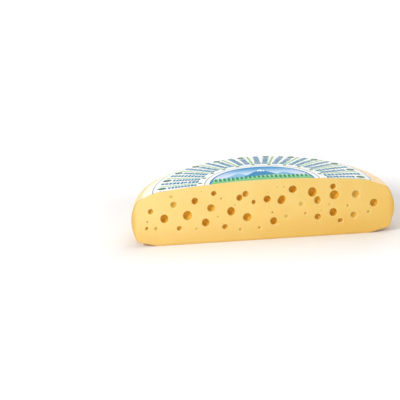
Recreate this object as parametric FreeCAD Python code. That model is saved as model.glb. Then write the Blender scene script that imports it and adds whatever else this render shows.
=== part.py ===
"""Half wheel of Emmental cheese, with the paper label that is stuck to its top.

The wheel is a solid of revolution: a flat base, a foot that lifts off the shelf, a bulging side, a
sloping shoulder and a domed top. One upright cut takes the wheel apart a little past its centre, and
opens the round eyes that gas blew in the paste. The label is a paper disc that was laid on the top
before the wheel was cut, so the cut goes through it too.

Units are millimetres. The origin is the middle of the bounding box, at its base. +Z is up, +X runs
along the cut face, to the right of someone who looks at it, and +Y points into the cheese.
"""

import FreeCAD
import Part
import math
import os

# ---- Driving dimensions of the wheel ----
WHEEL_RADIUS = 400.0        # at the widest line of the side
WHEEL_HEIGHT = 192.0        # at the top of the dome
DOME_RISE = 22.0            # the dome's middle over its rim
SHOULDER_REACH = 74.0       # from the dome's rim out to the widest line
SHOULDER_SLOPE = 23.0       # degrees down from level
BELLY_HEIGHT = 79.0         # the widest line over the base
BELLY_ROUND = 120.0         # radius of the side's bulge
FOOT_REACH = 78.0           # from the flat base's rim out to the widest line
FOOT_SLOPE = 14.0           # degrees up from level
SHOULDER_ROUND = 24.0       # fillet between the side and the shoulder
CREASE_ROUND = 90.0         # fillet between the shoulder and the dome
FOOT_ROUND = 9.0            # fillet between the side and the foot

# ---- The cut ----
CUT_PAST_CENTRE = 16.0      # the cut misses the wheel's axis by this much

# ---- The label ----
LABEL_MARGIN = 11.0         # the paper laps this far over the dome's rim
LABEL_THICKNESS = 0.5       # the paper, and the skin of rind that has grown into it

# ---- The eyes ----
# The cut meets each round eye at its own depth: this is how far the eye's centre lies behind the cut
# face, as a share of the eye's radius. Above 0 the eye is a cave, wider inside than at its mouth, and
# below 0 it is a shallow dish.
CAVE = 0.45
BOWL = 0.0
DISH = -0.6
DENT = -0.85

# Each eye's place is a percentage of the wheel's radius across and of its height up. The width and
# height of its mouth follow, in millimetres.
EYES = {
    CAVE: [
        (3.5, 66.5, 20, 20), (23, 80, 23, 21), (37.7, 73.5, 24, 28), (53.5, 80.5, 15, 16),
        (53.2, 38, 21, 24), (8, 29.5, 20, 22), (-36.5, 81, 14, 14), (-17.3, 71.5, 16, 18),
        (-6.8, 63, 11, 13), (-24, 50, 22, 25), (-43.5, 34, 21, 23), (-51, 70.5, 18, 19),
        (-74.5, 44.5, 22, 25), (14, 62.2, 21, 20), (-87.5, 41, 5, 5), (7, 44, 5, 5),
    ],
    BOWL: [
        (14.9, 65.6, 23, 22), (41.5, 59.5, 20, 26), (54.3, 66.5, 29, 30), (84.2, 49.5, 25, 26),
        (41.5, 32, 21, 20), (58.5, 23.5, 17, 14), (-12.7, 77, 19, 20), (-12, 38.5, 27, 26),
        (-29, 25, 18, 17), (-39, 57.5, 24, 24), (-57, 47.5, 28, 30), (-63.5, 27, 16, 15),
        (-84.5, 57.5, 16, 17), (-88, 30, 11, 12), (50.3, 51.5, 4, 10), (4.2, 77.5, 4, 4),
        (44, 42.5, 4, 4), (-46, 86, 4, 4), (-21, 60, 5, 4),
    ],
    DISH: [
        (70.5, 65.5, 26, 27), (68.7, 31.5, 20, 21), (64.5, 47.5, 10, 11), (80, 35, 12, 13),
        (32.2, 39, 11, 12), (16.5, 85, 7, 8), (-67, 66.5, 22, 22), (-81, 29, 13, 13),
        (-17.5, 19, 12, 12), (-31, 72, 9, 9), (-34, 42.5, 8, 8), (-50.5, 24.5, 9, 10),
        (-3, 20, 13, 12),
    ],
    DENT: [
        (29, 55, 17, 18), (11.7, 85.5, 8, 9), (17.5, 36, 16, 16), (-68.5, 80, 14, 12),
    ],
}

dome_rim_radius = WHEEL_RADIUS - SHOULDER_REACH
wheel_axis = FreeCAD.Vector(0, -(WHEEL_RADIUS + CUT_PAST_CENTRE) / 2, 0)
cut_y = wheel_axis.y + CUT_PAST_CENTRE
UP = FreeCAD.Vector(0, 0, 1)
INTO_CHEESE = FreeCAD.Vector(0, 1, 0)


def profile_point(radius, height):
    """A point of the wheel's profile, which is drawn in the XZ plane from the axis out."""
    return FreeCAD.Vector(radius, 0, height)


def meet_belly(start, degrees):
    """Where a straight line from start, rising by degrees on its way out, meets the side's bulge."""
    centre = profile_point(WHEEL_RADIUS - BELLY_ROUND, BELLY_HEIGHT)
    way = profile_point(math.cos(math.radians(degrees)), math.sin(math.radians(degrees)))
    to_start = start - centre
    along = to_start.dot(way)
    reach = math.sqrt(along ** 2 - to_start.dot(to_start) + BELLY_ROUND ** 2)
    return start + way * (reach - along)


dome_rim = profile_point(dome_rim_radius, WHEEL_HEIGHT - DOME_RISE)
base_rim = profile_point(WHEEL_RADIUS - FOOT_REACH, 0)
shoulder_end = meet_belly(dome_rim, -SHOULDER_SLOPE)
foot_end = meet_belly(base_rim, FOOT_SLOPE)


def wheel_profile():
    """The outline that turns into the wheel: base, foot, side, shoulder, dome, and down the axis."""
    base_centre = profile_point(0, 0)
    belly = profile_point(WHEEL_RADIUS, BELLY_HEIGHT)
    dome_top = profile_point(0, WHEEL_HEIGHT)
    # The dome is an arc through its rim and its top, on a circle centred on the wheel's axis.
    dome_round = (dome_rim_radius ** 2 + DOME_RISE ** 2) / (2 * DOME_RISE)
    halfway = dome_rim_radius / 2
    drop = dome_round - math.sqrt(dome_round ** 2 - halfway ** 2)
    dome_halfway = profile_point(halfway, WHEEL_HEIGHT - drop)
    return Part.Wire([
        Part.LineSegment(base_centre, base_rim).toShape(),
        Part.LineSegment(base_rim, foot_end).toShape(),
        Part.Arc(foot_end, belly, shoulder_end).toShape(),
        Part.LineSegment(shoulder_end, dome_rim).toShape(),
        Part.Arc(dome_rim, dome_halfway, dome_top).toShape(),
        Part.LineSegment(dome_top, base_centre).toShape(),
    ])


def rings_at(solid, place, within=0.5):
    """The solid's edges that run round the axis through a point of the profile."""
    found = []
    for edge in solid.Edges:
        if edge.Degenerated or not isinstance(edge.Curve, Part.Circle):
            continue
        ring = profile_point(edge.Curve.Radius, edge.Curve.Center.z)
        if ring.distanceToPoint(place) < within:
            found.append(edge)
    return found


def make_wheel():
    """The whole wheel on its own axis, with its three edges rounded."""
    wheel = Part.Face(wheel_profile()).revolve(FreeCAD.Vector(0, 0, 0), UP, 360)
    wheel = wheel.makeFillet(SHOULDER_ROUND, rings_at(wheel, shoulder_end))
    wheel = wheel.makeFillet(CREASE_ROUND, rings_at(wheel, dome_rim))
    return wheel.makeFillet(FOOT_ROUND, rings_at(wheel, foot_end))


def behind_the_cut(shape):
    """What the cut leaves of a shape that is drawn round the origin, moved to the wheel's axis."""
    span = 4 * WHEEL_RADIUS
    corner = FreeCAD.Vector(-span / 2, CUT_PAST_CENTRE, -span / 2)
    half = shape.common(Part.makeBox(span, span, span, corner))
    half.translate(wheel_axis)
    return half


def make_eye(across, up, mouth_width, mouth_height, depth):
    """One eye as a solid: a ball, stretched upright where its mouth isn't quite round."""
    radius = mouth_width / 2 / math.sqrt(1 - depth ** 2)
    # The ball's poles face the cut and away from it, so that the mouth is one clean ring.
    eye = Part.makeSphere(radius, FreeCAD.Vector(0, 0, 0), INTO_CHEESE)
    if mouth_height != mouth_width:
        stretch = FreeCAD.Matrix()
        stretch.A33 = mouth_height / mouth_width
        eye = eye.transformGeometry(stretch)
    x = across / 100 * WHEEL_RADIUS
    z = up / 100 * WHEEL_HEIGHT
    eye.translate(FreeCAD.Vector(x, cut_y + depth * radius, z))
    return eye


def make_cheese(wheel):
    """The half wheel, with its eyes open on the cut face."""
    eyes = [
        make_eye(across, up, width, height, depth)
        for depth, places in EYES.items()
        for across, up, width, height in places
    ]
    return behind_the_cut(wheel).cut(eyes)


def make_label(wheel):
    """The paper: what lies over the wheel's top and under a copy raised by the paper's thickness."""
    raised = wheel.copy()
    raised.translate(UP * LABEL_THICKNESS)
    radius = dome_rim_radius + LABEL_MARGIN
    disc = Part.makeCylinder(radius, WHEEL_HEIGHT, FreeCAD.Vector(0, 0, BELLY_HEIGHT))
    return behind_the_cut(raised.common(disc).cut(wheel))


def export(shape, node):
    """Writes one node's STEP file, once its shape is found to be one sound solid."""
    solids = shape.Solids
    assert len(solids) == 1 and solids[0].isValid(), f"{node} is not one sound solid"
    solids[0].exportStep(os.path.join("parts", f"{node}.step"))
    print(f"{node}: {solids[0].Volume / 1e6:.3f} litres, {len(solids[0].Faces)} faces")


os.makedirs("parts", exist_ok=True)
whole_wheel = make_wheel()
export(make_cheese(whole_wheel), "cheese_half")
export(make_label(whole_wheel), "label_paper")
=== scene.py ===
# %% [markdown]
# # Half a wheel of Alpine cheese, with its eyes and its paper label
#
# A big mountain cheese is pressed in a hoop, salted, and left in a warm cellar, where gas blows round
# eyes in the paste. Its rind stays smooth and golden, and a printed paper is laid on the top. Here the
# wheel has been cut upright, so that one flat face shows the paste and its eyes.
#
# The CAD part already has the right size. This lesson rebuilds its surface with rounded lips on the
# eyes, a gently uneven rind and a paper that lies on it, and then makes the finishes.

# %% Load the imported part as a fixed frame
import math

import bmesh
import bpy
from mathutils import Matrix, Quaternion, Vector


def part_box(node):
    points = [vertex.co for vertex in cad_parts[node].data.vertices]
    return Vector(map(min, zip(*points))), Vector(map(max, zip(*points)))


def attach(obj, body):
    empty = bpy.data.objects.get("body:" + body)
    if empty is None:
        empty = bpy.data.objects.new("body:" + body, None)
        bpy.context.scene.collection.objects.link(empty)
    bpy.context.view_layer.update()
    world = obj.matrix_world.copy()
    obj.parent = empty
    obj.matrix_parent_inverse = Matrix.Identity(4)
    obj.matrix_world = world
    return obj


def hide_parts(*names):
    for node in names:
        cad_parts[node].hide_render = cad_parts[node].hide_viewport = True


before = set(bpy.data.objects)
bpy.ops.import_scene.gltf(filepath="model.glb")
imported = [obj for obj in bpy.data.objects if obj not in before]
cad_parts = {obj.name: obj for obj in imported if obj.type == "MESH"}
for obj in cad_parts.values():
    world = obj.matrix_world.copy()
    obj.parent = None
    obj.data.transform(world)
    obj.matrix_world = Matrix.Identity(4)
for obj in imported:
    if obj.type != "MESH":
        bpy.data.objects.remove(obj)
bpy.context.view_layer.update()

MM = 0.001

# %% [markdown]
# ## Sizes that the frame gives
#
# The wheel is round, but the half has only a chord and a depth. A circle's radius follows from the two:
# half the depth, plus the chord squared over eight times the depth. The label's own box gives the cut
# plane, because the paper was cut through with the cheese.

# %% Measure the wheel
cheese_low, cheese_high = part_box("cheese_half")
label_low, label_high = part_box("label_paper")
CUT_Y = label_low.y
chord = cheese_high.x - cheese_low.x
depth = cheese_high.y - CUT_Y
RADIUS = depth / 2 + chord ** 2 / (8 * depth)
AXIS_Y = cheese_high.y - RADIUS
HEIGHT = cheese_high.z
PAPER = label_high.z - cheese_high.z
LABEL_RADIUS = label_high.y - AXIS_Y
print(f"wheel radius {RADIUS:.4f} m, height {HEIGHT:.4f} m, axis at y {AXIS_Y:.4f} m")
print(f"label radius {LABEL_RADIUS:.4f} m, paper {PAPER / MM:.2f} mm thick")

# %% [markdown]
# ## The camera
#
# A long lens far away keeps the wheel's lines nearly parallel, as in a catalogue picture. The camera
# stands a little to the left of the cut face and looks down on it. It is turned to the left of the
# cheese and a little up, which leaves room there, and it leans slightly, as a hand-held one does.

# %% Place the camera
LENS = 180.0
DISTANCE = 6.04
AZIMUTH = math.radians(-5.33)
ELEVATION = math.radians(19.77)
AIM_LEFT = math.radians(1.85)
AIM_UP = math.radians(1.18)
LEAN = math.radians(-1.85)

back = Vector((
    math.sin(AZIMUTH) * math.cos(ELEVATION),
    -math.cos(AZIMUTH) * math.cos(ELEVATION),
    math.sin(ELEVATION),
))
bpy.ops.object.camera_add(location=Vector((0, AXIS_Y, 0)) + back * DISTANCE)
camera = bpy.context.object
camera.data.lens = LENS
camera.data.sensor_width = 36.0
camera.rotation_mode = "QUATERNION"
toward_axis = (-back).to_track_quat("-Z", "Y")
turn_left = Quaternion((0, 1, 0), AIM_LEFT)
turn_up = Quaternion((1, 0, 0), AIM_UP)
lean = Quaternion((0, 0, 1), LEAN)
camera.rotation_quaternion = toward_axis @ lean @ turn_left @ turn_up
bpy.context.scene.camera = camera
print(f"camera: {LENS:.0f} mm lens, {DISTANCE} m away")

# %% [markdown]
# ## The wheel's outline
#
# The wheel could be a cylinder with bevels, but its side bulges, its shoulder slopes and its top is a
# low dome, so an outline that is turned round the axis follows the real form better. The outline is
# worked out as a chain of points: straight runs, arcs, and a soft curve at each corner.

# %% Name the outline's sizes
DOME_RISE = 22 * MM
SHOULDER_REACH = 74 * MM
SHOULDER_SLOPE = math.radians(-23)
FOOT_REACH = 78 * MM
FOOT_SLOPE = math.radians(14)
BELLY_HEIGHT = 79 * MM
BELLY_ROUND = 120 * MM
FOOT_SOFT = 3.6 * MM
SHOULDER_SOFT = 8 * MM
CREASE_SOFT = 12 * MM
INNER_SHARE = 0.6
CORNER_STEPS = 5
FINE_STEP = 4.5 * MM
COARSE_STEP = 16 * MM

belly = Vector((RADIUS - BELLY_ROUND, BELLY_HEIGHT))
dome_rim = Vector((RADIUS - SHOULDER_REACH, HEIGHT - DOME_RISE))
base_rim = Vector((RADIUS - FOOT_REACH, 0))
print(f"dome out to {dome_rim.x:.3f} m, base out to {base_rim.x:.3f} m")


# %% Helpers for a chain of points
def run(start, end, step):
    """Points along a straight run, without its end."""
    count = max(1, math.ceil((end - start).length / step))
    return [start.lerp(end, i / count) for i in range(count)]


def arc(centre, radius, start, end, step):
    """Points along an arc between two angles, without its end."""
    count = max(2, math.ceil(abs(end - start) * radius / step))
    angles = [start + (end - start) * i / count for i in range(count)]
    return [centre + radius * Vector((math.cos(a), math.sin(a))) for a in angles]


def soft_corner(start, corner, end):
    """Points of a curve that leaves start towards the corner and comes from the corner into end."""
    shares = [i / CORNER_STEPS for i in range(CORNER_STEPS)]
    return [start * (1 - t) ** 2 + corner * 2 * t * (1 - t) + end * t ** 2 for t in shares]


def meet_belly(start, slope):
    """Where a straight line from start, rising at a slope on its way out, meets the side's bulge."""
    way = Vector((math.cos(slope), math.sin(slope)))
    to_start = start - belly
    along = to_start.dot(way)
    reach = math.sqrt(along ** 2 - to_start.dot(to_start) + BELLY_ROUND ** 2)
    return start + way * (reach - along)


# %% Find the outline's corners
shoulder_end = meet_belly(dome_rim, SHOULDER_SLOPE)
foot_end = meet_belly(base_rim, FOOT_SLOPE)
dome_round = (dome_rim.x ** 2 + DOME_RISE ** 2) / (2 * DOME_RISE)
dome_centre = Vector((0, HEIGHT - dome_round))
print(f"the shoulder meets the side {shoulder_end.y:.3f} m up, and the foot meets it {foot_end.y:.3f} m up")

# %% [markdown]
# The chain starts on the base, goes up the side and ends on the dome. Its two ends stop short of the
# axis, but nearer to it than the cut will pass.

# %% Chain the outline
def belly_angle(place):
    return math.atan2(place.y - belly.y, place.x - belly.x)


def dome_point(radius):
    return Vector((radius, dome_centre.y + math.sqrt(dome_round ** 2 - radius ** 2)))


foot_angle = belly_angle(foot_end) + FOOT_SOFT / BELLY_ROUND
shoulder_angle = belly_angle(shoulder_end) - SHOULDER_SOFT / BELLY_ROUND
foot_on_belly = arc(belly, BELLY_ROUND, foot_angle, shoulder_angle, FINE_STEP)
belly_end = belly + BELLY_ROUND * Vector((math.cos(shoulder_angle), math.sin(shoulder_angle)))
foot_way = (foot_end - base_rim).normalized()
shoulder_way = (dome_rim - shoulder_end).normalized()
crease_end = dome_point(dome_rim.x - CREASE_SOFT)
inner = Vector((INNER_SHARE * (CUT_Y - AXIS_Y), 0))
inner_top = dome_point(inner.x)
dome_count = math.ceil((crease_end.x - inner_top.x) / FINE_STEP)
dome_step = (inner_top.x - crease_end.x) / dome_count
dome_radii = [crease_end.x + dome_step * i for i in range(dome_count + 1)]

outline = run(inner, base_rim, COARSE_STEP)
outline += run(base_rim, foot_end - foot_way * FOOT_SOFT, FINE_STEP)
outline += soft_corner(foot_end - foot_way * FOOT_SOFT, foot_end, foot_on_belly[0])
outline += foot_on_belly
outline += soft_corner(belly_end, shoulder_end, shoulder_end + shoulder_way * SHOULDER_SOFT)
outline += run(shoulder_end + shoulder_way * SHOULDER_SOFT, dome_rim - shoulder_way * CREASE_SOFT, FINE_STEP)
outline += soft_corner(dome_rim - shoulder_way * CREASE_SOFT, dome_rim, crease_end)
outline += [dome_point(r) for r in dome_radii]
print(f"the outline has {len(outline)} points")

# %% [markdown]
# The hoop's seam and the shelf leave two faint lines round the side. They are pressed into the outline
# before it is turned: each point near a line moves inwards by a fraction of a millimetre. Each line has
# a height, a depth and a width.

# %% Press the hoop's faint lines into the side
HOOP_LINES = ((45 * MM, 0.9 * MM, 5 * MM), (118 * MM, 0.5 * MM, 9 * MM))


def hoop_press(place):
    """How far inwards the hoop has pressed the side at a point of the outline."""
    if place.x < RADIUS - SHOULDER_REACH / 2:
        return 0
    return sum(deep * math.exp(-((place.y - high) / wide) ** 2) for high, deep, wide in HOOP_LINES)


outline = [Vector((place.x - hoop_press(place), place.y)) for place in outline]
print("hoop lines:", len(HOOP_LINES))

# %% [markdown]
# ## Turning the wheel
#
# One point is drawn out along the outline, and the chain is spun half a turn round the wheel's axis.
# That leaves a small hole round the axis, which the cut takes away with it.

# %% Draw the outline and spin it
SPOKES = 220

bpy.ops.object.select_all(action="DESELECT")
bpy.ops.mesh.primitive_plane_add(size=MM, location=(0, 0, 0))
half_wheel = bpy.context.object
half_wheel.name = "half_wheel"
bpy.ops.object.mode_set(mode="EDIT")
bpy.ops.mesh.merge(type="CENTER")
place = Vector((outline[0].x, AXIS_Y, outline[0].y))
bpy.ops.transform.translate(value=place)
for step in outline[1:]:
    target = Vector((step.x, AXIS_Y, step.y))
    bpy.ops.mesh.extrude_region_move(TRANSFORM_OT_translate={"value": target - place})
    place = target
bpy.ops.mesh.select_all(action="SELECT")
bpy.ops.mesh.spin(steps=SPOKES, angle=-math.pi, center=(0, AXIS_Y, 0), axis=(0, 0, 1))
bpy.ops.mesh.select_all(action="SELECT")
bpy.ops.mesh.remove_doubles(threshold=0.01 * MM)
bpy.ops.object.mode_set(mode="OBJECT")
spread = [v.co.y for v in half_wheel.data.vertices]
print(f"turned: y from {min(spread):.3f} to {max(spread):.3f}, {len(half_wheel.data.polygons)} faces")

# %% [markdown]
# ## Working by hand, in code
#
# An operator acts on whatever is selected, so each step first deselects everything and then picks
# faces by a test, such as where they are or which way they look.

# %% Two helpers for selecting
def take(piece):
    """Makes a piece the only selected and the active one, in object mode."""
    if bpy.context.object and bpy.context.object.mode != "OBJECT":
        bpy.ops.object.mode_set(mode="OBJECT")
    bpy.ops.object.select_all(action="DESELECT")
    piece.select_set(True)
    bpy.context.view_layer.objects.active = piece


def pick(piece, test):
    """In edit mode, selects the piece's faces that pass a test, and counts them."""
    take(piece)
    bpy.ops.object.mode_set(mode="EDIT")
    bpy.ops.mesh.select_mode(type="FACE")
    bpy.ops.mesh.select_all(action="DESELECT")
    mesh = bmesh.from_edit_mesh(piece.data)
    count = 0
    for face in mesh.faces:
        if test(face):
            face.select_set(True)
            count += 1
    bmesh.update_edit_mesh(piece.data)
    return count


# %% [markdown]
# ## An uneven rind
#
# A rind is never machined: it dips and swells by a millimetre over a hand's width. Two Displace
# modifiers do this, one broad and one finer. They only push inwards, so the wheel keeps its size, and
# a vertex group keeps the base flat and lets the lumps fade in over the lowest part of the side.

# %% Displace the rind
FADE_IN = 30 * MM


def uneven(piece, name, size, strength, group):
    """Pushes a piece's surface inwards by up to strength, in soft lumps of about the given size."""
    lumps = bpy.data.textures.new(name, "CLOUDS")
    lumps.noise_scale = size
    lumps.noise_depth = 1
    take(piece)
    push = piece.modifiers.new(name, "DISPLACE")
    push.texture = lumps
    push.texture_coords = "LOCAL"
    push.mid_level = 1.0
    push.strength = strength
    push.vertex_group = group
    bpy.ops.object.modifier_apply(modifier=name)


take(half_wheel)
bpy.ops.object.mode_set(mode="EDIT")
bpy.ops.mesh.select_all(action="SELECT")
bpy.ops.mesh.normals_make_consistent(inside=False)
bpy.ops.object.mode_set(mode="OBJECT")
off_the_base = half_wheel.vertex_groups.new(name="off_the_base")
for vertex in half_wheel.data.vertices:
    off_the_base.add([vertex.index], min(1.0, vertex.co.z / FADE_IN), "REPLACE")
uneven(half_wheel, "broad_lumps", 110 * MM, 2.2 * MM, off_the_base.name)
uneven(half_wheel, "small_lumps", 22 * MM, 0.5 * MM, off_the_base.name)
print("rind displaced")

# %% [markdown]
# ## The finishes, by name
#
# A cheese has few finishes: the rind, the rind seen edge on, the paste, the walls of the eyes and the
# printed paper. They start as empty materials, so that each face gets its own while it is modelled.
# Their nodes come later, when the whole form can be looked at.

# %% Name the finishes
golden_rind = bpy.data.materials.new("golden_rind")
rind_edge = bpy.data.materials.new("rind_edge")
cut_paste = bpy.data.materials.new("cut_paste")
eye_wall = bpy.data.materials.new("eye_wall")
printed_paper = bpy.data.materials.new("printed_paper")


def coat(piece, material):
    """Gives a material to the faces that are selected in edit mode."""
    piece.data.materials.append(material)
    piece.active_material_index = len(piece.data.materials) - 1
    bpy.ops.object.material_slot_assign()


print("finishes:", [finish.name for finish in (golden_rind, rind_edge, cut_paste, eye_wall, printed_paper)])

# %% [markdown]
# ## The cut
#
# A wire goes through the wheel in one pull. Bisect does the same: it throws away what lies in front of
# the plane and fills the opening with one face, the only one with so many corners. It keeps points that
# already lay close to the plane, so the face is pressed flat. An inset gives it a narrow border, which
# is the rind seen edge on. The rest is paste, and it is parted into tiles, because one face with fifty
# holes in it is hard to fill in.

# %% Cut the wheel and mark the rind's edge
RIND_THICKNESS = 2.4 * MM
MANY_CORNERS = 100

take(half_wheel)
bpy.ops.object.mode_set(mode="EDIT")
bpy.ops.mesh.select_all(action="SELECT")
bpy.ops.mesh.bisect(plane_co=(0, CUT_Y, 0), plane_no=(0, 1, 0), use_fill=True, clear_inner=True)
pick(half_wheel, lambda face: True)
coat(half_wheel, golden_rind)
print("faces of the cut:", pick(half_wheel, lambda face: len(face.verts) > MANY_CORNERS))
bpy.ops.transform.resize(value=(1, 0, 1), center_override=(0, CUT_Y, 0))
coat(half_wheel, rind_edge)
bpy.ops.mesh.inset(thickness=RIND_THICKNESS, depth=0)
coat(half_wheel, cut_paste)
print("materials of the wheel:", len(half_wheel.data.materials))

# %% Part the paste into tiles
TILE = 27 * MM

paste_slot = half_wheel.data.materials.find(cut_paste.name)


def is_paste(face):
    return face.material_index == paste_slot


def part_the_paste(place, normal):
    """Draws a line across the paste, where a plane crosses it."""
    pick(half_wheel, is_paste)
    bpy.ops.mesh.bisect(plane_co=place, plane_no=normal)


columns = math.ceil(chord / TILE)
rows = math.ceil(HEIGHT / TILE)
for i in range(1, columns):
    part_the_paste((chord * (i / columns - 0.5), 0, 0), (1, 0, 0))
for i in range(1, rows):
    part_the_paste((0, 0, HEIGHT * i / rows), (0, 0, 1))
print("tiles of paste:", pick(half_wheel, is_paste))
bpy.ops.object.mode_set(mode="OBJECT")

# %% [markdown]
# ## The label
#
# The paper was pasted on when the cheese was young, and the rind has grown into it. So it isn't a disc
# that floats over the top: it takes the top's own faces, lumps and all. They are duplicated, parted
# off as a piece of their own, and given the paper's thickness outwards.

# %% Part the paper off the top
SHARP_ANGLE = math.radians(40)


def under_the_paper(face):
    """Whether a face looks up from the top of the wheel, within the paper's radius."""
    middle = face.calc_center_median()
    across = math.hypot(middle.x, middle.y - AXIS_Y)
    return across < LABEL_RADIUS and middle.z > HEIGHT / 2 and face.normal.z > 0.5


print("faces under the paper:", pick(half_wheel, under_the_paper))
bpy.ops.mesh.duplicate()
bpy.ops.mesh.separate(type="SELECTED")
bpy.ops.object.mode_set(mode="OBJECT")
top_label = next(piece for piece in bpy.context.selected_objects if piece != half_wheel)
top_label.name = "top_label"
top_label.vertex_groups.clear()
top_label.data.materials.clear()
top_label.data.materials.append(printed_paper)
take(top_label)
paper = top_label.modifiers.new("paper", "SOLIDIFY")
paper.thickness = PAPER
paper.offset = 1.0
bpy.ops.object.modifier_apply(modifier="paper")
bpy.ops.object.shade_smooth_by_angle(angle=SHARP_ANGLE)
print(f"top label: {len(top_label.data.polygons)} faces")

# %% [markdown]
# ## The eyes
#
# Each eye is a ball of gas that the wire has cut at its own depth. A ball whose centre lies behind the
# cut leaves a cave, wider inside than at its mouth. One that is cut through its middle leaves a bowl,
# and one whose centre went with the other half leaves a shallow dish or a dent. The mouth isn't a sharp
# edge: the paste has slumped a little there, so its lip is round.
#
# Each eye gets a mould, and a boolean takes the mould out of the paste. The list gives how far its
# centre lies behind the cut, in radii, then its place across and up, in percent of the wheel's radius
# and height, and its mouth's width and height in millimetres. These are the CAD part's eyes, except
# that the dents and one dish are a little wider, and the dents are shallower.

# %% List the eyes
CAVE = 0.45
BOWL = 0.0
DISH = -0.6
DENT = -0.92
EYES = {
    CAVE: [
        (3.5, 66.5, 20, 20), (23, 80, 23, 21), (37.7, 73.5, 24, 28), (53.5, 80.5, 15, 16),
        (53.2, 38, 21, 24), (8, 29.5, 20, 22), (-36.5, 81, 14, 14), (-17.3, 71.5, 16, 18),
        (-6.8, 63, 11, 13), (-24, 50, 22, 25), (-43.5, 34, 21, 23), (-51, 70.5, 18, 19),
        (-74.5, 44.5, 22, 25), (14, 62.2, 21, 20), (-87.5, 41, 5, 5), (7, 44, 5, 5),
    ],
    BOWL: [
        (14.9, 65.6, 23, 22), (41.5, 59.5, 20, 26), (54.3, 66.5, 29, 30), (84.2, 49.5, 25, 26),
        (41.5, 32, 21, 20), (58.5, 23.5, 17, 14), (-12.7, 77, 19, 20), (-12, 38.5, 27, 26),
        (-29, 25, 18, 17), (-39, 57.5, 24, 24), (-57, 47.5, 28, 30), (-63.5, 27, 16, 15),
        (-84.5, 57.5, 16, 17), (-88, 30, 11, 12), (50.3, 51.5, 4, 10), (4.2, 77.5, 4, 4),
        (44, 42.5, 4, 4), (-46, 86, 4, 4), (-21, 60, 5, 4),
    ],
    DISH: [
        (70.5, 65.5, 26, 27), (68.7, 31.5, 22, 23), (64.5, 47.5, 10, 11), (80, 35, 12, 13),
        (32.2, 39, 11, 12), (16.5, 85, 7, 8), (-67, 66.5, 22, 22), (-81, 29, 13, 13),
        (-17.5, 19, 12, 12), (-31, 72, 9, 9), (-34, 42.5, 8, 8), (-50.5, 24.5, 9, 10),
        (-3, 20, 13, 12),
    ],
    DENT: [
        (29, 55, 19, 20), (11.7, 85.5, 9, 10), (17.5, 36, 18, 17), (-68.5, 80, 15, 13),
    ],
}
print("eyes:", sum(len(eyes) for eyes in EYES.values()))

# %% [markdown]
# A boolean on the whole wheel would be slow, and it only has to know the paste near the cut. So the
# face of the cut is parted off and drawn back into a slab, which is joined to the rind again later.

# %% Part off a slab behind the cut
SLAB = 45 * MM

pick(half_wheel, is_paste)
bpy.ops.mesh.separate(type="SELECTED")
bpy.ops.object.mode_set(mode="OBJECT")
slab = next(piece for piece in bpy.context.selected_objects if piece != half_wheel)
pick(slab, lambda face: True)
bpy.ops.mesh.extrude_region_move(TRANSFORM_OT_translate={"value": (0, SLAB, 0)})
bpy.ops.mesh.select_all(action="SELECT")
bpy.ops.mesh.normals_make_consistent(inside=False)
bpy.ops.object.mode_set(mode="OBJECT")
print(f"slab: {len(slab.data.polygons)} faces")

# %% [markdown]
# A mould starts as a ball with its poles towards and away from the cut. Bisect trims its front, and the
# open rim is drawn forwards in steps that widen it: they follow a small circle, the lip, that touches
# both the ball and the cut face. A shallow eye has a rounder lip. The last step goes past the cut face,
# so that the boolean cuts cleanly.

# %% Helpers for a rounded lip
LIP_STEPS = 4


def lip_profile(radius, behind, lip):
    """Points from the ball to the cut face, each as its distance across and its depth behind the cut."""
    lip_across = math.sqrt((radius + lip) ** 2 - (behind - lip) ** 2)
    meet_across = radius * lip_across / (radius + lip)
    meet_behind = behind + radius * (lip - behind) / (radius + lip)
    start = math.atan2(meet_behind - lip, meet_across - lip_across)
    turn = (-math.pi / 2 - start) % (2 * math.pi)
    turn = turn - 2 * math.pi if turn > math.pi else turn
    angles = [start + turn * i / LIP_STEPS for i in range(1, LIP_STEPS + 1)]
    on_the_lip = [(lip_across + lip * math.cos(a), lip + lip * math.sin(a)) for a in angles]
    return [(meet_across, meet_behind)] + on_the_lip


def draw_rim(centre, forwards, widen):
    """Draws the selected open rim towards the viewer, and makes it wider or narrower."""
    bpy.ops.mesh.extrude_edges_move(TRANSFORM_OT_translate={"value": (0, -forwards, 0)})
    bpy.ops.transform.resize(value=(widen, 1, widen), center_override=centre)


# %% Model one eye's mould
LIP_SHARE = 0.18
LIP_MOST = 2.6 * MM
MOUTH_LESS_LIP = 0.94
PAST_THE_CUT = 1.5 * MM
FLARE = 0.5 * MM
WIDE_MOUTH = 12
WIDE_SEGMENTS = 36
SMALL_SEGMENTS = 24


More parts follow.
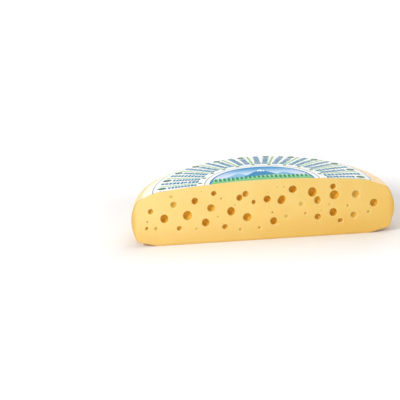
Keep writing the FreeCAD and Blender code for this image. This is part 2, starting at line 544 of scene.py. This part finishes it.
def add_eye_mould(across, up, mouth_width, mouth_height, cut_share):
    """Models the mould of one eye in the list, and gives it."""
    half_mouth = MOUTH_LESS_LIP * mouth_width / 2 * MM
    radius = half_mouth / math.sqrt(1 - cut_share ** 2)
    behind = cut_share * radius
    middle = Vector((across / 100 * RADIUS, CUT_Y, up / 100 * HEIGHT))
    shallow = max(0, -cut_share)
    lip = min(LIP_MOST, LIP_SHARE * mouth_width * MM) * (1 + shallow)
    profile = lip_profile(radius, behind, lip)
    segments = WIDE_SEGMENTS if mouth_width > WIDE_MOUTH else SMALL_SEGMENTS

    bpy.ops.object.select_all(action="DESELECT")
    bpy.ops.mesh.primitive_uv_sphere_add(
        segments=segments, ring_count=segments // 2, radius=radius,
        location=middle + Vector((0, behind, 0)), rotation=(math.pi / 2, 0, 0),
    )
    mould = bpy.context.object
    bpy.ops.object.mode_set(mode="EDIT")
    bpy.ops.mesh.select_all(action="SELECT")
    trim = middle + Vector((0, profile[0][1], 0))
    bpy.ops.mesh.bisect(plane_co=trim, plane_no=(0, 1, 0), clear_inner=True)
    for (across_now, behind_now), (across_next, behind_next) in zip(profile, profile[1:]):
        draw_rim(middle, behind_now - behind_next, across_next / across_now)
    draw_rim(middle, PAST_THE_CUT, 1 + FLARE / profile[-1][0])
    bpy.ops.mesh.edge_face_add()
    bpy.ops.mesh.select_all(action="SELECT")
    bpy.ops.transform.resize(value=(1, 1, mouth_height / mouth_width), center_override=middle)
    bpy.ops.mesh.normals_make_consistent(inside=False)
    coat(mould, eye_wall)
    bpy.ops.object.mode_set(mode="OBJECT")
    return mould


# %% Take every eye out of the slab
for cut_share, eyes in EYES.items():
    for across, up, mouth_width, mouth_height in eyes:
        mould = add_eye_mould(across, up, mouth_width, mouth_height, cut_share)
        take(slab)
        opening = slab.modifiers.new("eye", "BOOLEAN")
        opening.operation = "DIFFERENCE"
        opening.object = mould
        opening.solver = "EXACT"
        opening.material_mode = "TRANSFER"
        bpy.ops.object.modifier_apply(modifier="eye")
        bpy.data.objects.remove(mould)
print(f"slab with its eyes: {len(slab.data.polygons)} faces")

# %% [markdown]
# The slab's sides and back have done their work, and go. Its front, with the eyes, is joined to the
# rind, and the seam is merged. Weighted normals let each flat tile keep its own direction up to its
# edges, so that the cut looks flat and the lips look round.

# %% Join the face and its eyes to the rind
NEARLY = 0.99


def reaches_the_back(face):
    return any(vertex.co.y > CUT_Y + NEARLY * SLAB for vertex in face.verts)


print("sides and back of the slab:", pick(slab, reaches_the_back))
bpy.ops.mesh.delete(type="FACE")
bpy.ops.object.mode_set(mode="OBJECT")
half_wheel.select_set(True)
bpy.context.view_layer.objects.active = half_wheel
bpy.ops.object.join()
bpy.ops.object.mode_set(mode="EDIT")
bpy.ops.mesh.select_all(action="SELECT")
bpy.ops.mesh.remove_doubles(threshold=0.02 * MM)
bpy.ops.mesh.select_all(action="DESELECT")
bpy.ops.mesh.select_mode(type="VERT")
bpy.ops.mesh.select_non_manifold()
bpy.ops.object.mode_set(mode="OBJECT")
open_points = sum(vertex.select for vertex in half_wheel.data.vertices)
bpy.ops.object.shade_smooth_by_angle(angle=SHARP_ANGLE)
weigh = half_wheel.modifiers.new("weigh", "WEIGHTED_NORMAL")
weigh.keep_sharp = True
bpy.ops.object.modifier_apply(modifier="weigh")
print(f"half wheel with its eyes: {len(half_wheel.data.polygons)} faces, {open_points} open points")

# %% [markdown]
# ## Wiring materials in code
#
# A node tree in code is a list of small steps. These helpers keep each step to one line: one adds a
# node and plugs its inputs, and the others add the nodes that are used most.

# %% Helpers that add nodes
def screen(red, green, blue):
    """A colour as a screen shows it, from 0 to 255, turned into the linear colour a shader takes."""
    shares = [level / 255 for level in (red, green, blue)]
    return tuple(s / 12.92 if s <= 0.04045 else ((s + 0.055) / 1.055) ** 2.4 for s in shares) + (1.0,)


def wire(tree, kind, plugs=None, **settings):
    """Adds a node. Plugs name its inputs, each with a plain value or with another node's output."""
    node = tree.nodes.new("ShaderNode" + kind)
    row, column = divmod(len(tree.nodes), 12)
    node.location = (200 * column, -320 * row)
    for name, value in settings.items():
        setattr(node, name, value)
    for name, value in (plugs or {}).items():
        if isinstance(value, bpy.types.NodeSocket):
            tree.links.new(value, node.inputs[name])
        else:
            node.inputs[name].default_value = value
    return node


def work_out(tree, operation, *values):
    """Adds a Math node and gives its result."""
    return wire(tree, "Math", dict(enumerate(values)), operation=operation).outputs[0]


def between(tree, value, low, high):
    """A soft step: 0 below low, 1 above high. With low above high it falls instead of rising."""
    plugs = {"Value": value, "From Min": low, "From Max": high}
    return wire(tree, "MapRange", plugs, interpolation_type="SMOOTHSTEP").outputs[0]


def lay_over(tree, mask, below, above):
    """Lays a colour over another one where a mask is 1."""
    return wire(tree, "Mix", {0: mask, 6: below, 7: above}, data_type="RGBA").outputs[2]


def ramp(tree, value, *stops):
    """A colour ramp, with stops written as (place, colour)."""
    node = wire(tree, "ValToRGB", {0: value})
    band = node.color_ramp.elements
    while len(band) < len(stops):
        band.new(0.5)
    for element, (place, colour) in zip(band, stops):
        element.position = place
        element.color = colour
    return node.outputs[0]


# %% Helpers that start materials and groups
def start_material(material):
    """Empties a material and gives its node tree and its Principled shader."""
    material.use_nodes = True
    tree = material.node_tree
    tree.nodes.clear()
    shader = wire(tree, "BsdfPrincipled")
    wire(tree, "OutputMaterial", {"Surface": shader.outputs[0]})
    return tree, shader


def start_group(name, inputs, outputs):
    """Makes a shader node group with named inputs and outputs, each written as name: kind."""
    group = bpy.data.node_groups.new(name, "ShaderNodeTree")
    for title, kind in inputs.items():
        group.interface.new_socket(title, in_out="INPUT", socket_type="NodeSocket" + kind)
    for title, kind in outputs.items():
        group.interface.new_socket(title, in_out="OUTPUT", socket_type="NodeSocket" + kind)
    return group, group.nodes.new("NodeGroupInput").outputs, group.nodes.new("NodeGroupOutput").inputs


def place_group(tree, group, **plugs):
    """Places a node group in a tree, plugs its inputs by name, and gives its outputs."""
    return wire(tree, "Group", plugs, node_tree=group).outputs


# %% [markdown]
# ## Where on the wheel?
#
# Rind, paste and label all change with the distance from the wheel's axis and with the height over the
# table. One group turns Object coordinates into these, and a second one gives soft blotches at two
# sizes, because nothing on a food is the same colour all over.

# %% Build the wheel-place group
wheel_place, given, gives = start_group(
    "wheel_place", {}, {"Place": "Vector", "Across": "Float", "Away": "Float",
                        "Radius": "Float", "Angle": "Float", "Height": "Float"})
place = wire(wheel_place, "TexCoord").outputs["Object"]
apart = wire(wheel_place, "SeparateXYZ", {0: place}).outputs
away = work_out(wheel_place, "SUBTRACT", apart["Y"], AXIS_Y)
flat = wire(wheel_place, "CombineXYZ", {"X": apart["X"], "Y": away}).outputs[0]
radius = wire(wheel_place, "VectorMath", {0: flat}, operation="LENGTH").outputs["Value"]
angle = work_out(wheel_place, "ARCTAN2", away, apart["X"])
angle = work_out(wheel_place, "DEGREES", angle)
for name, result in {"Place": place, "Across": apart["X"], "Away": away, "Radius": radius,
                     "Angle": angle, "Height": apart["Z"]}.items():
    wheel_place.links.new(result, gives[name])
print("group:", wheel_place.name)

# %% Build the blotches group
blotches, given, gives = start_group(
    "blotches", {"Place": "Vector", "Size": "Float"}, {"Broad": "Float", "Fine": "Float"})
for name, finer, detail in (("Broad", 1, 2.0), ("Fine", 9, 3.0)):
    scale = work_out(blotches, "DIVIDE", finer, given["Size"])
    noise = wire(blotches, "TexNoise", {"Vector": given["Place"], "Scale": scale, "Detail": detail})
    spread = between(blotches, noise.outputs[0], 0.3, 0.7)
    blotches.links.new(spread, gives[name])
print("group:", blotches.name)

# %% [markdown]
# ## The paste
#
# The paste is dense and a little waxy: light goes in a few millimetres and comes out warmer, which is
# what subsurface scattering does. Its colour holds painted light: it is painted paler at the top and at
# the left end, as if lit from the upper left, and deeper towards the right and the base, as painted
# shade. It is also darker near the rind, and darker again towards the base, where shade is painted. The
# wire leaves faint drag lines, and crumbs leave fine pits. Both are only bump.

# %% Helpers for a surface
def emboss(tree, shader, height, strength, depth):
    """Gives a shader a relief that is only bump."""
    bump = wire(tree, "Bump", {"Strength": strength, "Distance": depth, "Height": height})
    tree.links.new(bump.outputs[0], shader.inputs["Normal"])


def roughen(tree, shader, share, low, high):
    """Lets a shader's roughness run from low to high, by a share of 0 to 1."""
    roughness = wire(tree, "MapRange", {"Value": share, "To Min": low, "To Max": high})
    tree.links.new(roughness.outputs[0], shader.inputs["Roughness"])


def let_light_in(shader, weight, depth, spread):
    """Scatters light under the surface, to a depth that spread shares out to red, green and blue."""
    shader.inputs["Subsurface Weight"].default_value = weight
    shader.inputs["Subsurface Scale"].default_value = depth
    shader.inputs["Subsurface Radius"].default_value = spread


# %% Wire the paste
# The first colour is the paste painted as lit and the second the paste painted as shaded. The third is the
# darker colour near the rind, which also paints shade towards the base.
PASTE_LIT_PALE = screen(254, 222, 142)
PASTE_SHADED_DEEP = screen(249, 201, 94)
PASTE_NEAR_RIND_AND_SHADE = screen(224, 176, 82)

tree, shader = start_material(cut_paste)
wheel = place_group(tree, wheel_place)
patches = place_group(tree, blotches, Place=wheel["Place"], Size=0.09)
near_side = between(tree, wheel["Radius"], 0.94 * RADIUS, RADIUS)
# Painted shade at the foot of the cut face.
painted_base_shade = between(tree, wheel["Height"], 0.07 * HEIGHT, 0)
# Painted light: paler to the left and the top, deeper to the right and the base, under broad blotches.
along = work_out(tree, "MULTIPLY_ADD", wheel["Across"], 0.9, 0.42)
share = work_out(tree, "MULTIPLY_ADD", wheel["Height"], -1.6, along)
share = work_out(tree, "MULTIPLY_ADD", patches["Broad"], 0.22, share)
colour = lay_over(tree, share, PASTE_LIT_PALE, PASTE_SHADED_DEEP)
# Darker near the rind, and painted shade towards the base.
near_rind_and_painted_shade = work_out(tree, "MAXIMUM", near_side, painted_base_shade)
near_rind_and_painted_shade = work_out(tree, "MULTIPLY", near_rind_and_painted_shade, 0.75)
# Painted shade over the lower half of the cut face.
low = between(tree, wheel["Height"], 0.5 * HEIGHT, 0)
near_rind_and_painted_shade = work_out(tree, "MAXIMUM", near_rind_and_painted_shade, work_out(tree, "MULTIPLY", low, 0.34))
colour = lay_over(tree, near_rind_and_painted_shade, colour, PASTE_NEAR_RIND_AND_SHADE)
tree.links.new(colour, shader.inputs["Base Color"])
stretch = wire(tree, "Mapping", {"Vector": wheel["Place"], "Rotation": (0, 0.12, 0), "Scale": (1, 1, 26)})
drag = wire(tree, "TexNoise", {"Vector": stretch.outputs[0], "Scale": 11.0, "Detail": 2.0})
pits = wire(tree, "TexNoise", {"Vector": wheel["Place"], "Scale": 420.0, "Detail": 3.0})
relief = work_out(tree, "MULTIPLY_ADD", pits.outputs[0], 0.5, drag.outputs[0])
emboss(tree, shader, relief, 0.35, 0.6 * MM)
roughen(tree, shader, patches["Fine"], 0.42, 0.56)
let_light_in(shader, 0.18, 8 * MM, (1.0, 0.5, 0.18))
shader.inputs["Specular IOR Level"].default_value = 0.3
print("material:", cut_paste.name)

# %% [markdown]
# ## The walls of the eyes
#
# Gas has pressed the walls of an eye smooth, and they shine a little. Deep inside, light has bounced
# from wall to wall and turned orange. A ramp on the depth behind the cut paints that in: painted shade
# just inside the mouth, and painted orange bounce light further in.

# %% Wire the eye walls
DEEPEST = 30 * MM

tree, shader = start_material(eye_wall)
place = wire(tree, "TexCoord").outputs["Object"]
behind_cut = work_out(tree, "SUBTRACT", wire(tree, "SeparateXYZ", {0: place}).outputs["Y"], CUT_Y)
deep = work_out(tree, "DIVIDE", behind_cut, DEEPEST)
# Painted shade and painted bounce light by depth: darker just inside the mouth, oranger further in.
colour = ramp(tree, deep, (0.0, screen(255, 228, 152)), (0.03, screen(233, 196, 108)),
              (0.09, screen(218, 169, 68)), (0.26, screen(224, 167, 42)), (0.6, screen(244, 188, 48)))
patches = place_group(tree, blotches, Place=place, Size=0.012)
colour = lay_over(tree, work_out(tree, "MULTIPLY", patches["Broad"], 0.2), colour, screen(236, 176, 56))
tree.links.new(colour, shader.inputs["Base Color"])
emboss(tree, shader, patches["Fine"], 0.2, 0.4 * MM)
roughen(tree, shader, patches["Fine"], 0.3, 0.42)
let_light_in(shader, 0.12, 6 * MM, (1.0, 0.45, 0.12))
shader.inputs["Specular IOR Level"].default_value = 0.3
print("material:", eye_wall.name)

# %% [markdown]
# ## The rind
#
# The rind is brushed with brine and turned in the cellar for months, and each wipe of the brush runs
# round it. Its side is painted in bands of light and shade by height: painted shade darkest at the foot
# and in a softer band round the belly, and painted light between them and towards the top. The sloping
# shoulder is paler, partly its own colour and partly painted light from above. It stays cream over most
# of its way and is painted peach, as in shade, at the right end, and it meets the side in a line that
# wavers.

# %% Wire the rind
CREASE_FROM = 0.8
CREASE_TO = 0.83
PEACH_SHADE_UP_TO = 28
CREAM_LIT_FROM = 46

tree, shader = start_material(golden_rind)
wheel = place_group(tree, wheel_place)
patches = place_group(tree, blotches, Place=wheel["Place"], Size=0.11)
high = work_out(tree, "DIVIDE", wheel["Height"], HEIGHT)
swayed = work_out(tree, "MULTIPLY_ADD", patches["Broad"], 0.05, high)
# Painted light and shade by height: darkest at the foot, a softer dark band round the belly, paler towards
# the top.
side = ramp(tree, swayed, (0.0, screen(178, 120, 54)), (0.06, screen(228, 180, 102)),
            (0.2, screen(236, 194, 120)), (0.32, screen(226, 175, 95)), (0.45, screen(228, 177, 97)),
            (0.62, screen(241, 199, 126)), (0.8, screen(250, 214, 158)))
side = lay_over(tree, work_out(tree, "MULTIPLY", patches["Broad"], 0.25), side, screen(224, 174, 98))
stretch = wire(tree, "Mapping", {"Vector": wheel["Place"], "Scale": (3, 3, 60)})
wiped = wire(tree, "TexNoise", {"Vector": stretch.outputs[0], "Scale": 1.6, "Detail": 3.0}).outputs[0]
wiped = between(tree, wiped, 0.52, 0.72)
side = lay_over(tree, work_out(tree, "MULTIPLY", wiped, 0.15), side, screen(212, 156, 80))
# The shoulder is painted paler than the side: partly its own colour, partly painted light from above, with
# painted shade turning it peach at the right end.
shoulder_cream_lit = lay_over(tree, patches["Fine"], screen(254, 244, 224), screen(252, 238, 210))
shoulder_peach_shaded = lay_over(tree, patches["Broad"], screen(250, 212, 166), screen(246, 200, 146))
one_end = work_out(tree, "MULTIPLY_ADD", patches["Broad"], 12, wheel["Angle"])
shoulder = lay_over(tree, between(tree, one_end, PEACH_SHADE_UP_TO, CREAM_LIT_FROM), shoulder_peach_shaded, shoulder_cream_lit)
waver = work_out(tree, "MULTIPLY_ADD", patches["Fine"], 0.012, high)
waver = work_out(tree, "MULTIPLY_ADD", patches["Broad"], 0.02, waver)
above_crease = between(tree, waver, CREASE_FROM, CREASE_TO)
colour = lay_over(tree, above_crease, side, shoulder)
tree.links.new(colour, shader.inputs["Base Color"])
pores = wire(tree, "TexNoise", {"Vector": wheel["Place"], "Scale": 260.0, "Detail": 4.0}).outputs[0]
relief = work_out(tree, "MULTIPLY_ADD", wiped, 0.6, pores)
emboss(tree, shader, relief, 0.4, 0.8 * MM)
roughen(tree, shader, patches["Fine"], 0.48, 0.62)
let_light_in(shader, 0.12, 6 * MM, (1.0, 0.5, 0.2))
shader.inputs["Specular IOR Level"].default_value = 0.25
print("material:", golden_rind.name)

# %% Wire the rind's edge
tree, shader = start_material(rind_edge)
wheel = place_group(tree, wheel_place)
patches = place_group(tree, blotches, Place=wheel["Place"], Size=0.05)
colour = lay_over(tree, patches["Broad"], screen(234, 186, 102), screen(224, 172, 86))
high = work_out(tree, "DIVIDE", wheel["Height"], HEIGHT)
# Paler towards the top, like the shoulder: partly its own colour, partly painted light from above.
colour = lay_over(tree, between(tree, high, 0.72, 0.84), colour, screen(252, 218, 150))
tree.links.new(colour, shader.inputs["Base Color"])
emboss(tree, shader, patches["Fine"], 0.3, 0.4 * MM)
let_light_in(shader, 0.15, 6 * MM, (1.0, 0.5, 0.2))
shader.inputs["Roughness"].default_value = 0.48
print("material:", rind_edge.name)

# %% [markdown]
# ## The printed paper
#
# A cheese label repeats its print round the wheel, so that every piece that is cut and sold still
# carries some of it. Here three rows repeat: a blue one that ends in a leaf, a longer blue one, and a
# thin green one with a bud at its inner end. Two dashed rings hold them, and a round picture of hills
# fills the middle. Each row, ring and hill is a mask worked out from the place on the wheel, so the
# print stays sharp at any size.
#
# A row is a string of blocks along a spoke. Each block has a length and a width of its own, by chance,
# and a taper narrows the row towards both its ends, which turns a row of one long block into a leaf.

# %% Build the printed-row group
printed_row, given, gives = start_group(
    "printed_row",
    {"Radius": "Float", "Angle": "Float", "Turn": "Float", "Step": "Float", "Start": "Float",
     "End": "Float", "Width": "Float", "Block": "Float", "Rag": "Float", "Taper": "Float"},
    {"Mask": "Float"})
turned = work_out(printed_row, "SUBTRACT", given["Angle"], given["Turn"])
turned = work_out(printed_row, "DIVIDE", turned, given["Step"])
number = work_out(printed_row, "ROUND", turned)
aside = work_out(printed_row, "SUBTRACT", turned, number)
aside = work_out(printed_row, "RADIANS", work_out(printed_row, "MULTIPLY", aside, given["Step"]))
along = work_out(printed_row, "MULTIPLY", given["Radius"], work_out(printed_row, "COSINE", aside))
sideways = work_out(printed_row, "MULTIPLY", given["Radius"], work_out(printed_row, "SINE", aside))
past_start = work_out(printed_row, "SUBTRACT", along, given["Start"])
block = work_out(printed_row, "DIVIDE", past_start, given["Block"])
block_number = work_out(printed_row, "FLOOR", block)
name_tag = wire(printed_row, "CombineXYZ", {"X": block_number, "Y": number, "Z": given["Turn"]}).outputs[0]
chance = wire(printed_row, "TexWhiteNoise", {"Vector": name_tag}, noise_dimensions="3D").outputs["Value"]
inked = work_out(printed_row, "MULTIPLY_ADD", chance, 0.2, 0.7)
inside_block = work_out(printed_row, "LESS_THAN", work_out(printed_row, "FRACT", block), inked)
length = work_out(printed_row, "SUBTRACT", given["End"], given["Start"])
from_middle = work_out(printed_row, "DIVIDE", past_start, length)
from_middle = work_out(printed_row, "MULTIPLY_ADD", from_middle, 2, -1)
narrower = work_out(printed_row, "MULTIPLY", work_out(printed_row, "POWER", from_middle, 2), given["Taper"])
narrower = work_out(printed_row, "MULTIPLY_ADD", chance, given["Rag"], narrower)
half_width = work_out(printed_row, "MULTIPLY", given["Width"], 0.5)
half_width = work_out(printed_row, "MULTIPLY", half_width, work_out(printed_row, "SUBTRACT", 1, narrower))
mask = work_out(printed_row, "LESS_THAN", work_out(printed_row, "ABSOLUTE", sideways), half_width)
mask = work_out(printed_row, "MULTIPLY", mask, inside_block)
mask = work_out(printed_row, "MULTIPLY", mask, work_out(printed_row, "GREATER_THAN", along, given["Start"]))
mask = work_out(printed_row, "MULTIPLY", mask, work_out(printed_row, "LESS_THAN", along, given["End"]))
printed_row.links.new(mask, gives["Mask"])
print("group:", printed_row.name)

# %% Build the printed-ring group
printed_ring, given, gives = start_group(
    "printed_ring",
    {"Radius": "Float", "Angle": "Float", "At": "Float", "Thickness": "Float", "Dash": "Float",
     "Share": "Float"},
    {"Mask": "Float"})
off = work_out(printed_ring, "ABSOLUTE", work_out(printed_ring, "SUBTRACT", given["Radius"], given["At"]))
half_line = work_out(printed_ring, "MULTIPLY", given["Thickness"], 0.5)
on_line = work_out(printed_ring, "LESS_THAN", off, half_line)
dash = work_out(printed_ring, "FRACT", work_out(printed_ring, "DIVIDE", given["Angle"], given["Dash"]))
mask = work_out(printed_ring, "MULTIPLY", on_line, work_out(printed_ring, "LESS_THAN", dash, given["Share"]))
printed_ring.links.new(mask, gives["Mask"])
print("group:", printed_ring.name)

# %% [markdown]
# The picture in the middle is made of bands: a sky that pales towards the hills, a far peak with snow
# and two lower ones, and two hills with a row of small firs between them. A peak is the ground under
# two slopes, so its mask asks whether a point is below the height of the slopes there. The edge of the
# snow and the tips of the firs are zigzags, made from what is left over when the place across is
# divided by the width of one tooth. All lengths are in metres.

# %% Build the picture group
PICTURE_RADIUS = 160 * MM

picture, given, gives = start_group(
    "hill_picture", {"Across": "Float", "Away": "Float", "Radius": "Float"}, {"Colour": "Color"})


def peak(at, top, steepness):
    """A mask of a peak, by its place across, the height of its top and its slopes."""
    off_centre = work_out(picture, "ABSOLUTE", work_out(picture, "SUBTRACT", given["Across"], at))
    line = work_out(picture, "MULTIPLY_ADD", off_centre, -steepness, top)
    return work_out(picture, "LESS_THAN", given["Away"], line)


def hill(height, swell, wave, shift):
    """A mask of a rolling hill, by its height and its swells' height, length and shift."""
    phase = work_out(picture, "MULTIPLY_ADD", given["Across"], 1 / wave, shift)
    line = work_out(picture, "MULTIPLY_ADD", work_out(picture, "SINE", phase), swell, height)
    return work_out(picture, "LESS_THAN", given["Away"], line)


# %% Paint the picture
SNOW_TOOTH = 0.009
SNOW_LINE = 0.099
FIR_STEP = 0.013
BORDER = 6 * MM

sideways = work_out(picture, "ABSOLUTE", given["Across"])
far_out = between(picture, sideways, 0.05, 0.16)
haze = lay_over(picture, far_out, screen(206, 228, 246), screen(212, 214, 238))
sky = lay_over(picture, between(picture, given["Away"], 0.07, 0.15), haze, screen(74, 152, 204))
colour = lay_over(picture, peak(-0.066, 0.094, 0.9), sky, screen(140, 186, 222))
colour = lay_over(picture, peak(0.072, 0.088, 0.8), colour, screen(128, 178, 216))
high_peak = peak(0.004, 0.124, 1.25)
colour = lay_over(picture, high_peak, colour, screen(66, 138, 184))
jag = work_out(picture, "FRACT", work_out(picture, "DIVIDE", given["Across"], SNOW_TOOTH))
jag = work_out(picture, "ABSOLUTE", work_out(picture, "SUBTRACT", jag, 0.5))
snow = work_out(picture, "SUBTRACT", given["Away"], work_out(picture, "MULTIPLY", jag, 0.018))
snow = work_out(picture, "GREATER_THAN", snow, SNOW_LINE)
snow = work_out(picture, "MULTIPLY", snow, high_peak)
colour = lay_over(picture, snow, colour, screen(238, 246, 250))
colour = lay_over(picture, hill(0.056, 0.006, 0.035, 0.4), colour, screen(168, 212, 170))
fir_row = work_out(picture, "FRACT", work_out(picture, "DIVIDE", given["Across"], FIR_STEP))
fir_side = work_out(picture, "ABSOLUTE", work_out(picture, "SUBTRACT", fir_row, 0.5))
fir_top = work_out(picture, "MULTIPLY_ADD", fir_side, -0.036, 0.062)
fir = work_out(picture, "LESS_THAN", given["Away"], fir_top)
fir = work_out(picture, "MULTIPLY", fir, work_out(picture, "LESS_THAN", fir_side, 0.34))
colour = lay_over(picture, fir, colour, screen(46, 142, 92))
colour = lay_over(picture, hill(0.034, 0.006, 0.028, 2.0), colour, screen(128, 194, 132))
border = work_out(picture, "GREATER_THAN", given["Radius"], PICTURE_RADIUS - BORDER)
colour = lay_over(picture, border, colour, screen(46, 130, 184))
picture.links.new(colour, gives["Colour"])
print("group:", picture.name)

# %% Choose the inks and start the paper
ROW_STEP = 15.0
BLUE_INK = screen(0, 120, 156)
TEAL_INK = screen(20, 92, 96)
GREEN_INK = screen(112, 176, 70)
LEAF_INK = screen(30, 118, 66)
RING_INK = screen(84, 124, 150)

tree, shader = start_material(printed_paper)
wheel = place_group(tree, wheel_place)
patches = place_group(tree, blotches, Place=wheel["Place"], Size=0.06)
colour = lay_over(tree, patches["Broad"], screen(246, 246, 243), screen(241, 241, 236))
print(f"a row every {ROW_STEP:.0f} degrees")


def row(turn, start, end, width, block, rag, taper=0.0):
    """A mask of one row, repeated round the wheel. Lengths are in millimetres."""
    return place_group(
        tree, printed_row, Radius=wheel["Radius"], Angle=wheel["Angle"], Turn=turn, Step=ROW_STEP,
        Start=start * MM, End=end * MM, Width=width * MM, Block=block * MM, Rag=rag, Taper=taper)["Mask"]


def ring(at, thickness, dash, share):
    """A mask of a ring. Its dashes are in degrees, with the share of each that is inked."""
    return place_group(
        tree, printed_ring, Radius=wheel["Radius"], Angle=wheel["Angle"], At=at * MM,
        Thickness=thickness * MM, Dash=dash, Share=share)["Mask"]


# %% Print the rows, the rings and the picture
prints = (
    (row(7.4, 198, 286, 20, 9.8, 0.3), BLUE_INK),
    (row(7.4, 288, 318, 22, 60, 0.0, 1.0), TEAL_INK),
    (row(7.4, 295, 311, 6, 40, 0.0, 1.0), GREEN_INK),
    (row(13.5, 196, 313, 20, 11.8, 0.3), BLUE_INK),
    (row(18.3, 199, 313.5, 8.5, 4.6, 0.4), GREEN_INK),
    (row(18.3, 182, 196, 12, 30, 0.0, 1.0), LEAF_INK),
    (ring(330, 3.6, 1.6, 0.82), RING_INK),
    (ring(174, 2.8, 1.6, 0.88), RING_INK),
)
wear = work_out(tree, "MULTIPLY_ADD", patches["Fine"], -0.12, 1.0)
for mask, ink in prints:
    colour = lay_over(tree, work_out(tree, "MULTIPLY", mask, wear), colour, ink)
disc = place_group(tree, picture, Across=wheel["Across"], Away=wheel["Away"], Radius=wheel["Radius"])
in_disc = work_out(tree, "LESS_THAN", wheel["Radius"], PICTURE_RADIUS)
colour = lay_over(tree, in_disc, colour, disc["Colour"])
tree.links.new(colour, shader.inputs["Base Color"])
print("prints:", len(prints))

# %% Crease the paper
crease = wire(tree, "TexNoise", {"Vector": wheel["Place"], "Scale": 34.0, "Detail": 4.0}).outputs[0]
fibre = wire(tree, "TexNoise", {"Vector": wheel["Place"], "Scale": 900.0, "Detail": 2.0}).outputs[0]
relief = work_out(tree, "MULTIPLY_ADD", fibre, 0.12, crease)
emboss(tree, shader, relief, 0.25, 1.2 * MM)
roughen(tree, shader, patches["Fine"], 0.62, 0.75)
shader.inputs["Specular IOR Level"].default_value = 0.15
print("material:", printed_paper.name)

# %% [markdown]
# ## The table and the light
#
# A catalogue picture stands on white that has no horizon. The floor is white and very large. For the
# camera alone it also glows, hardly at all at the foot of the cheese and more with the distance from
# it, so that it shows the shadow and still meets the white world without a line. The key light is a
# broad one on the left, which is why shallow eyes are dark on their left.

# %% Lay the floor
FOOTPRINT = (0.9 * RADIUS, 0.99 * cheese_high.y, 0)
GLOW_REACH = 0.6
GLOW_NEAR = 0.02
GLOW_FAR = 0.5

bpy.ops.object.select_all(action="DESELECT")
bpy.ops.mesh.primitive_plane_add(size=60, location=(0, 0, 0))
floor = bpy.context.object
floor.name = "floor"
white_floor = bpy.data.materials.new("white_floor")
white_floor.use_nodes = True
tree = white_floor.node_tree
tree.nodes.clear()
to_camera = wire(tree, "LightPath").outputs["Is Camera Ray"]
place = wire(tree, "TexCoord").outputs["Object"]
place = wire(tree, "VectorMath", {0: place}, operation="ABSOLUTE").outputs[0]
place = wire(tree, "VectorMath", {0: place, 1: FOOTPRINT}, operation="SUBTRACT").outputs[0]
place = wire(tree, "VectorMath", {0: place, 1: (0, 0, 0)}, operation="MAXIMUM").outputs[0]
far = wire(tree, "VectorMath", {0: place}, operation="LENGTH").outputs["Value"]
plugs = {"Value": far, "From Min": 0.0, "From Max": GLOW_REACH, "To Min": GLOW_NEAR, "To Max": GLOW_FAR}
strength = wire(tree, "MapRange", plugs, interpolation_type="SMOOTHSTEP").outputs[0]
paint = wire(tree, "BsdfDiffuse", {"Color": (0.86, 0.85, 0.84, 1)})
glow = wire(tree, "Emission", {"Strength": work_out(tree, "MULTIPLY", to_camera, strength)})
both = wire(tree, "AddShader", {0: paint.outputs[0], 1: glow.outputs[0]})
wire(tree, "OutputMaterial", {"Surface": both.outputs[0]})
floor.data.materials.append(white_floor)
print("floor laid")

# %% [markdown]
# The world is white for the camera and in reflections, and dimmer as a light, so that the lamps still
# model the form.

# %% Light the world
AMBIENT = 0.47

world = bpy.data.worlds.new("studio")
bpy.context.scene.world = world
world.use_nodes = True
tree = world.node_tree
tree.nodes.clear()
path = wire(tree, "LightPath").outputs
seen = work_out(tree, "MAXIMUM", path["Is Camera Ray"], path["Is Glossy Ray"])
seen = work_out(tree, "MAXIMUM", seen, path["Is Transmission Ray"])
strength = wire(tree, "MapRange", {"Value": seen, "To Min": AMBIENT, "To Max": 1.0}).outputs[0]
sky = wire(tree, "Background", {"Color": (1, 1, 1, 1), "Strength": strength})
wire(tree, "OutputWorld", {"Surface": sky.outputs[0]})
bpy.context.scene.view_settings.view_transform = "Standard"
print("world:", world.name)

# %% Hang the lamps
def add_lamp(name, place, size, power):
    """A square soft lamp that points at the middle of the cheese."""
    bpy.ops.object.light_add(type="AREA", location=place)
    lamp = bpy.context.object
    lamp.name = name
    lamp.data.size = size
    lamp.data.energy = power
    aim = Vector((0, 0, HEIGHT / 2)) - Vector(place)
    lamp.rotation_mode = "QUATERNION"
    lamp.rotation_quaternion = aim.to_track_quat("-Z", "Y")
    print(f"lamp: {name}, {power} W")


add_lamp("key", (-3.3, -2.4, 2.5), 1.2, 139)
add_lamp("overhead", (0.3, 0.3, 3.6), 2.6, 32)
add_lamp("behind", (2.2, 3.4, 1.3), 2.4, 44)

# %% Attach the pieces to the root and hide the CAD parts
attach(half_wheel, "root")
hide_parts("cheese_half")
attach(top_label, "root")
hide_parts("label_paper")
